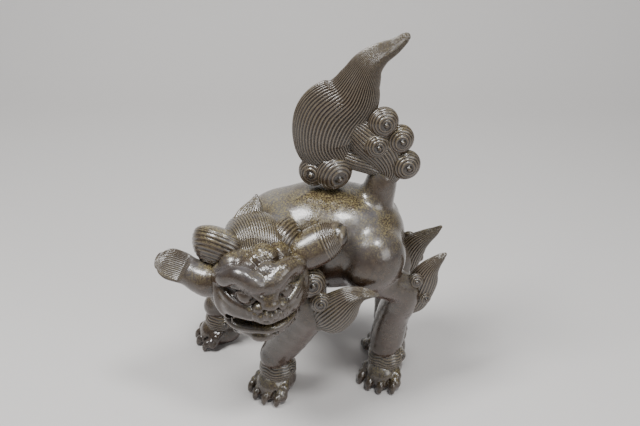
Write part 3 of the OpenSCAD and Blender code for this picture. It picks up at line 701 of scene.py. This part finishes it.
for side, label, elbow in ((1, "left", [58, -10, 117]), (-1, "right", [-46, -63, 117])):
    root = np.array(elbow, float) + [side * 10, 14, 2]
    rows, facing = leaf(root, [side * 0.12, 1, 0.02], ELBOW)
    hair(f"{label}_elbow_hair", [lock(rows, facing * side, 34, 0.95, 12)], [f"{label}_elbow_flame"])
    hair(f"{label}_elbow_snail", [whorl(root + [side * 4, -4, 22], [side, 0.1, 0.1], 10.5, 5, side, 0.8,
                                        knob=0.18)],
         [f"{label}_elbow_curl"])
    root = np.array([30 * side, 83, 116], float) + [side, 9, -6]
    rows, facing = leaf(root, [side * 0.06, 1, 0], NEAR_HOCK if side > 0 else FAR_HOCK)
    hair(f"{label}_hock_hair", [lock(rows, facing * side, 26, 0.85, 12)], [f"{label}_hock_flame"])
    hair(f"{label}_hock_snails", [whorl(root + [side * 9, 3, 34], [side, 0.2, 0.1], 8, 4, side, 0.7,
                                        knob=0.2),
                                  whorl(root + [side * 7, 13, 12], [side, 0.4, 0], 7, 4, -side, 0.7,
                                        knob=0.2)],
         [f"{label}_hock_curls"])

# %% [markdown]
# ## Head
# The face is built up in lumps: a knobbly forehead, wavy brow ridges, deep-set eyes, a broad nose
# and an open mouth with lips rolled back. Soft joins keep it looking modelled by thumb,
# and hard cuts under the brows and between the lips give it its scowl.

# %% Skull and forehead
face = Clay([-54, -64, -50], [54, 46, 62], 0.66)
face.add(ball([0, 0, 4], [41, 42, 41]), 3)
LUMPS = [(-22, -10, 30, 15, 14, 14), (-27, -20, 25, 10, 9, 9), (-13, -24, 33, 9, 9, 10),
         (4, -14, 36, 13, 14, 15), (16, -6, 33, 15, 14, 13), (23, -21, 27, 10, 9, 10),
         (5, -32, 33, 12, 10, 10), (-34, -8, 20, 11, 13, 12), (33, -8, 20, 11, 13, 12),
         (-3, -21, 41, 8, 7, 7), (9, -20, 42, 7, 7, 6), (14, -30, 34, 7, 6, 7),
         (8, -27, 24, 11, 12, 9), (-11, -24, 36, 7, 8, 8)]
for x, y, z, *half in LUMPS:
    face.add(ball([x, y, z], half), 2.4)

# %% [markdown]
# ### Brows, sockets and cheeks
# Both sides are laid on alike: a temple roll, a socket cut deep under a heavy brow, and lids round the eye.
# The cuts under the brow and over the cheek are what make it frown.

# %% Brows, sockets and cheeks
for side in (-1, 1):
    s = float(side)
    strand(face, [[38 * s, -8, 24, 5], [39 * s, -15, 10, 5.5], [37.5 * s, -18, -4, 6],
                  [32 * s, -21, -14, 6]], 3)
    face.add(ball([25 * s, -22, 2], [15, 14, 12]), 4)
    face.cut(ball([17 * s, -41, 15.5], [12, 10.5, 9]), 2)
    strand(face, [[37 * s, -15, 24, 5.0], [32.5 * s, -23.5, 28.0, 6.4], [26 * s, -29, 34, 6.4],
                  [18 * s, -34.5, 34.5, 7.0], [11 * s, -39, 29.5, 6.8], [4 * s, -41, 26.5, 6.8]], 4.6)
    strand(face, [[38 * s, -20, 18.5, 0.9], [31 * s, -30, 22.0, 1.3], [24 * s, -36, 27.5, 1.4],
                  [17 * s, -41.5, 27.5, 1.4],
                  [10 * s, -46, 22.0, 1.2]], 1.0, cut=True)
    strand(face, [[28 * s, -31, 23.2, 2.4], [21 * s, -38.0, 26.4, 3.3], [13 * s, -42.5, 24.0, 3.6],
                  [6.5 * s, -45.0, 17.5, 3.8], [2.0 * s, -46.5, 13, 3.4]], 0.7)
    strand(face, [[26 * s, -33, 17, 1.4], [21.5 * s, -40, 21.2, 1.7], [15.5 * s, -43.2, 21.4, 1.8],
                  [9.5 * s, -42.2, 15.8, 1.9]], 0.7, 6)
    strand(face, [[26 * s, -33, 14, 1.5], [21.5 * s, -39.6, 10.6, 1.7], [15.5 * s, -42.0, 9.4, 1.8],
                  [8.8 * s, -41.5, 13.2, 1.9]], 0.7, 6)
    face.add(ball([27 * s, -33.2, 15.4], 2.4), 0.5)
    strand(face, [[35.5 * s, -19, 12, 4.8], [29.5 * s, -28.5, 7.5, 5.8], [21 * s, -36, 3.5, 5.8],
                  [13 * s, -41, 1.5, 5.0],
                  [8 * s, -44, 1, 4.2]], 1.4)
    strand(face, [[34 * s, -25, 17, 0.8], [27 * s, -36, 11.6, 1.0], [17 * s, -43.5, 7.6, 1.0],
                  [10 * s, -46, 7, 0.8]],
           1.0, cut=True)
    strand(face, [[36 * s, -23, 3, 0.8], [29 * s, -32, -0.5, 1.1], [20 * s, -40, -2.5, 1.1],
                  [13 * s, -44.5, -3, 0.9]],
           1.0, cut=True)

# %% [markdown]
# ### Nose
# The nose is a broad button with flared wings, and it sits a little to one side as on a handmade figure.

# %% Nose
face.add(rod([3, -36, 24], [3, -42, 12], 9.5, 9.5), 3)
face.add(ball([3, -46.0, 8.5], [9.5, 7.6, 6.6]), 1.6)
for side in (-1, 1):
    face.add(ball([3 + 9.6 * side, -44.5, 5.0], [6.6, 6.2, 5.4]), 1.0)
    face.cut(rod([3 + 5.4 * side, -54, 2.2], [3 + 6.4 * side, -46, 4.5], 1.9, 2.1), 0.7)
    strand(face, [[3 + 16.5 * side, -42, 9, 0.7], [3 + 16.8 * side, -44, 4, 1.0],
                  [3 + 13 * side, -47, -0.5, 0.8]], 0.9,
           cut=True)
    face.add(ball([1 + 12 * side, -39, -4], [12, 8, 7]), 2)

# %% [markdown]
# ### Mouth and whiskers
# The mouth is cut back between two rolled lips and hollowed on the side where it gapes.
# The whisker pads over the upper lip are short rolls of clay pressed on side by side.

# %% Mouth and whiskers
def mouth(points, narrow=0.95, lift=2.5):
    """Points of the lips and jaw, drawn in and lifted a little."""
    return [[x * narrow, y, z + lift, r] for x, y, z, r in points]


strand(face, [[-34, -15, -6, 8], [-22, -29, -3, 11], [0, -35, -5, 12], [22, -29, -5, 11], [33, -15, -8, 8]],
       3, 4)
face.add(rod([0, -6, -22], [0, -22, -27], 18, 15), 5)
strand(face, mouth([[-28, -17, -29, 6.5], [-17, -28, -33, 7], [-3, -33, -35, 8], [15, -28, -34, 7],
                    [27, -17, -30, 6.5]]), 3, 4)
face.add(ball([-5, -37, -34], [11, 7.5, 6.5]), 2.5)
strand(face, mouth([[-37, -19, -17, 3.0], [-30, -29, -15, 6.0], [-22, -36, -16, 6.4], [-13, -41, -18.5, 5.0],
                    [0, -45, -20.5, 2.8], [12, -43, -20, 2.0], [24, -36, -19.5, 2.2],
                    [35, -20, -17.5, 2.0]]), 1.0, 5,
       cut=True)
face.cut(ball([-10, -28, -16.5], [23, 14, 7.5]), 1.5)
strand(face, mouth([[-38, -16, -14, 2.6], [-31.5, -26.5, -6.5, 3.3], [-24, -33.5, -5.5, 3.7],
                    [-15, -39.8, -8.5, 3.9],
              [-6, -43.6, -12.5, 3.8], [1, -44.6, -14.4, 3.6], [9, -43.6, -12.8, 3.8], [20, -38, -13.4, 3.8],
              [31, -27, -13.6, 3.4], [36, -18, -14.5, 2.6]]), 1.2, 6)
strand(face, mouth([[-38, -16, -19, 2.4], [-35, -22, -25.5, 2.9], [-29, -28, -28.5, 3.4],
                    [-20, -35, -27.5, 3.6],
              [-10, -40.6, -26.2, 3.7], [1, -43, -26.6, 3.8], [12, -40.6, -26, 3.6], [24, -33.5, -24.6, 3.2],
              [35, -19, -19.5, 2.4]]), 1.2, 6)
for x in np.arange(-27, 33, 4.9):
    deep = 46.8 - 0.0185 * (x - 1) ** 2
    lip = -12.6 + (6.5 if x < -14 else 1.0)
    bow = 1.3 * math.sin(x * 1.9)
    strand(face, mouth([[x * 0.92 + 1, -deep + 1.4, lip + 12.0 + bow, 2.0],
                        [x * 0.97, -deep - 2.6, lip + 7.0 + bow, 3.1],
                        [x, -deep - 2.6, lip + 2.2 + bow, 2.6]]), 0.35, 3)
for x, z in ((-9, -30), (-1, -31), (7, -30)):
    face.add(ball([x, -40.5, z - 2], [3.4, 3, 3]), 1.0)
strand(face, mouth([[-31, -6, -22, 4], [-26, -12, -34, 4.5], [-14, -22, -42, 4.5], [0, -26, -44, 4]]), 2, 4)

# %% [markdown]
# ### The skin of the head
# The crown and the rolls over the eyes were left rough, so their skin is pushed out and in by crossed waves.

# %% Skin of the head
points, quads = skin(face, 2)
out = normals(points, quads)
rough = np.zeros(len(points))
for k, (a, b, c) in enumerate(((1.9, 0.7, 1.3), (-0.9, 1.7, 1.1), (0.6, -1.2, 2.1))):
    bend = np.sin(points @ np.array([0.31, -0.27, 0.23]) * (k + 1))
    rough += np.sin(points @ np.array([a, b, c]) + 2.1 * k + 1.5 * bend)
crown = np.exp(-(((points - [7, -26, 36]) / [17, 16, 14]) ** 2).sum(1))
roll = np.exp(-(((np.abs(points[:, 0]) - 12) / 15) ** 2 + ((points[:, 2] - 23) / 5) ** 2
                + ((points[:, 1] + 41) / 5) ** 2))
points = points + out * ((0.17 * crown + 0.30 * roll) * rough)[:, None]
head_points = points @ HEAD_TURN.T + head_at
piece("head_skin", head_points, quads, ["head_shell", "brow", "muzzle", "lower_jaw", "nose", "left_eyebrow",
                                        "right_eyebrow"])

# %% [markdown]
# ## Eyes, teeth and tongue
# The eyes are half-closed beads of clay with a pierced pupil, set deep under the brows.
# Teeth were cut as small pegs, with longer tusks at the corners, and the tongue is a flat pad.

# %% Eyes, teeth, tongue
def in_head(points):
    """Points given in the head's own frame, in the lion's frame."""
    return np.asarray(points) @ HEAD_TURN.T + head_at


for side, label in ((-1, "right"), (1, "left")):
    at = np.array([side * 16.8, -36.6, 16.2])
    eye = Clay(at - 11.5, at + 11.5, 0.5)
    eye.add(ball(at, 9.0), 1)
    eye.cut(ball(at + [-side * 3.4, -8.6, -1.2], [2.0, 3.0, 2.0]), 0.5)
    eye.cut(rod(at + [-side * 3.4, -11, 3], at + [-side * 0.2, -9.5, 3.4], 0.9, 0.9), 0.4)
    p, q = skin(eye, 1)
    piece(f"{label}_eye", in_head(p), q, [f"{label}_eyeball"], "stoneware_dark")
teeth = {"upper_teeth": Clay([-32, -50, -26], [32, -18, -8], 0.6),
         "lower_teeth": Clay([-32, -50, -32], [32, -18, -12], 0.6)}
for x in np.linspace(-22, 8, 6):
    back = 0.012 * x * x
    teeth["upper_teeth"].add(rod([x, -36.5 + back, -11.5], [x, -36.5 + back, -14.2], 2.6, 2.0), 0.5)
    teeth["lower_teeth"].add(rod([x, -36 + back, -26], [x, -36 + back, -24], 2.4, 1.8), 0.5)
for side in (-1, 1):
    teeth["upper_teeth"].add(rod([28.5 * side, -26, -9], [29 * side, -27.5, -17], 2.8, 0.9), 0.5)
    teeth["lower_teeth"].add(rod([30 * side, -25, -27], [31 * side, -27, -16], 2.8, 0.9), 0.5)
for node, block in teeth.items():
    p, q = skin(block, 1)
    piece(node + "_row", in_head(p), q, [node])
pad = Clay([-16, -42, -30], [16, -16, -16], 0.6)
pad.add(ball([-5, -30, -22.5], [10, 11, 4.2]), 1)
pad.cut(rod([-6, -42, -18.4], [-4, -20, -18.4], 0.9, 0.9), 1.5)
p, q = skin(pad, 1)
piece("tongue_pad", in_head(p), q, ["tongue"], "stoneware_dark")

# %% [markdown]
# ## Ears
# The right ear is a paddle held out sideways, hollowed and combed on its upper face. The left one is
# a fat roll laid back along the shoulder, with its lines running crosswise round the end.

# %% Ears
def along_head(rows):
    """Stations given in the head's own frame, as stations in the lion's frame."""
    rows = np.asarray(rows, float)
    return np.hstack([in_head(rows[:, :3]), rows[:, 3:]]).tolist()


EARS = {"left": ([[28, 2, 19, 10, 11], [36, 2, 20.5, 15, 14], [45, 2, 24, 18, 15.5], [56, 2, 28.5, 19, 15.5],
                  [66, 2, 33.5, 18.5, 15], [72.5, 2, 36.4, 16.6, 13.8], [77, 2, 38.4, 13, 11.2]],
                 [-0.2, -0.7, 0.7]),
        "right": ([[-36, 0, 8, 13, 14], [-46, 2, 9, 16.5, 16.5], [-54, 6, 11, 15.5, 15],
                   [-63, 12.5, 14.5, 14, 12],
                   [-71, 17.5, 17.5, 15, 10], [-80, 21.5, 20.2, 15, 8.2], [-85.6, 23.7, 21.9, 12.4, 6.4],
                   [-88.7, 25.1, 22.9, 8.6, 4.6]], [0, -0.8, 0.6])}
for label, (shape, facing) in EARS.items():
    rows = along_head(shape)
    facing = HEAD_TURN @ (np.array(facing) / np.linalg.norm(facing))
    if label == "right":
        made = lock(rows, facing, 44, 0.34, 12, comb=(0.44, 1.0), cup=0.7, face_only=True)
    else:
        made = lock(rows, facing, 26, 0.6, 16, comb=(0.56, 1.0), bands=10)
    hair(f"{label}_ear_roll", [made], [f"{label}_ear"])

# %% [markdown]
# ## Mane
# Behind the forehead the hair is combed back in a broad cap that rises to a pointed tuft.
# A fat roll arches over the root of each ear, and small snails hang below the left ear and the jaw.

# %% Mane
hair("mane_crest_tuft", [lock(along_head([[-2, 20, 32, 17, 12], [-1, 30, 42, 18, 13], [2, 36, 50, 15, 10],
                                          [7, 42, 59, 8, 6], [9.5, 46, 66, 1.8, 1.8]]),
                              HEAD_TURN @ np.array([0.25, -0.8, 0.5]), 26, 0.8, 12)], ["mane_crest"])
cap = [lock(along_head([[4, -6, 38, 19, 8], [4, 6, 45, 21, 11], [2, 22, 46, 23, 15], [0, 38, 34, 25, 17],
                        [0, 50, 14, 24, 15]]), HEAD_TURN @ np.array([0, 0.5, 1.0]), 44, 0.85, 12)]
hair("mane_cap_hair", cap, ["mane_cap"])


def dome(at, toward, r, lines, tall):
    """A bun combed in rings round the spot it leans toward."""
    at, toward = np.array(at, float), np.array(toward, float)
    return whorl(in_head(at), HEAD_TURN @ (toward - at), r, lines, 1, 1.0, tall, knob=0.04)


hair("right_mane_roll", [dome([-30, 21, 36], [-51, -3, 12], 28, 10, 0.9),
                         lock(along_head([[-34, 20, 0, 12, 10], [-36, 18, -14, 15, 11],
                                          [-32, 14, -30, 14, 10],
                                          [-24, 8, -42, 9, 7]]), HEAD_TURN @ np.array([0.9, 0.4, 0.0]), 30,
                              0.8, 12)],
     ["right_mane_lock"])
hair("left_mane_roll", [dome([25, 20, 30], [46, -2, 24], 24, 9, 0.9)], ["left_mane_lock"])
hair("neck_snail", [whorl(head_at + [-6, 49, -6], [0.9, 0.25, 0.2], 15, 6, 1, 0.8, knob=0.14)], ["neck_curl"])
jaw = np.array([0, -32.6, -30])
hair("beard_snails", [whorl(in_head(jaw + [side * 23.6, 14, -5]),
                            HEAD_TURN @ np.array([side * 0.7, -0.4, -0.3]), 8,
                            3, side, 0.6) for side in (-1, 1)], ["beard_curls"])

# %% [markdown]
# ## Setting and light
# The figure stands on a plain pale floor under soft studio light: a broad lamp overhead, a weaker one
# to the side, and a smaller one in front that lays streaks on the glossy clay.
# The viewpoint is above and to the left of the lion, facing its turned head.

# %% Floor
def plain(name, colour):
    """A dull single-coloured finish for the floor."""
    made = bpy.data.materials.new(name)
    made.use_nodes = True
    made.node_tree.nodes["Principled BSDF"].inputs["Base Color"].default_value = (*colour, 1)
    made.node_tree.nodes["Principled BSDF"].inputs["Roughness"].default_value = 0.9
    return made


low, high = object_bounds()
floor_mesh = bpy.data.meshes.new("floor")
profile = [(2.2, 0.0), (-0.75, 0.0)] + [(-0.75 - 0.35 * math.sin(a), 0.35 - 0.35 * math.cos(a))
                                       for a in np.linspace(0.15, math.pi / 2, 10)] + [(-1.1, 2.6)]
verts = [(x, y, z) for x, z in profile for y in (-2.6, 2.6)]
floor_mesh.from_pydata(verts, [], [(2 * i, 2 * i + 2, 2 * i + 3, 2 * i + 1) for i in range(len(profile) - 1)])
floor_mesh.polygons.foreach_set("use_smooth", np.ones(len(floor_mesh.polygons), bool))
floor_mesh.materials.append(plain("pale_floor", (0.72, 0.70, 0.68)))
floor = bpy.data.objects.new("floor", floor_mesh)
bpy.context.scene.collection.objects.link(floor)
floor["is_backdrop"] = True

# %% [markdown]
# Lamps and viewpoint are turned the same way, by looking from their place toward a target.

# %% Lamps and viewpoint
def aim(made, at, target):
    """Sets a lamp or the viewpoint at a spot, looking at a target."""
    made.location = at
    made.rotation_mode = "QUATERNION"
    made.rotation_quaternion = (Vector(target) - Vector(at)).to_track_quat("-Z", "Y")


centre = np.array([(low.x + high.x) / 2, (low.y + high.y) / 2, (low.z + high.z) / 2])
for name, offset, power, size in (("overhead", (0.25, -0.55, 1.15), 18, 0.42),
                                  ("side", (0.9, 1.0, 0.5), 6, 0.7),
                                  ("window", (0.45, 0.35, 1.15), 9, 0.24)):
    lamp = bpy.data.lights.new(name, "AREA")
    lamp.energy, lamp.size = power, size
    made = bpy.data.objects.new(name, lamp)
    bpy.context.scene.collection.objects.link(made)
    aim(made, tuple(centre + offset), tuple(centre))
world = bpy.data.worlds.new("studio")
world.use_nodes = True
world.node_tree.nodes["Background"].inputs["Color"].default_value = (0.80, 0.84, 0.90, 1)
world.node_tree.nodes["Background"].inputs["Strength"].default_value = 0.24
bpy.context.scene.world = world

HOW_FAR, HOW_STEEP, LOOK_AT = 0.889, math.radians(30), np.array([0, 0, 198.0])
target = (LOOK_AT + home) * MM
camera = bpy.data.objects.new("viewpoint", bpy.data.cameras.new("viewpoint"))
camera.data.lens, camera.data.sensor_width = 50, 36
bpy.context.scene.collection.objects.link(camera)
aim(camera, tuple(target + HOW_FAR * np.array([math.cos(HOW_STEEP), 0, math.sin(HOW_STEEP)])), tuple(target))
bpy.context.scene.camera = camera

# %% [markdown]
# ## Size
# The box round the finished pieces is measured at the end. The finished skin must stay inside the
# CAD part's box.

# %% Sizes and end
low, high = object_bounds()
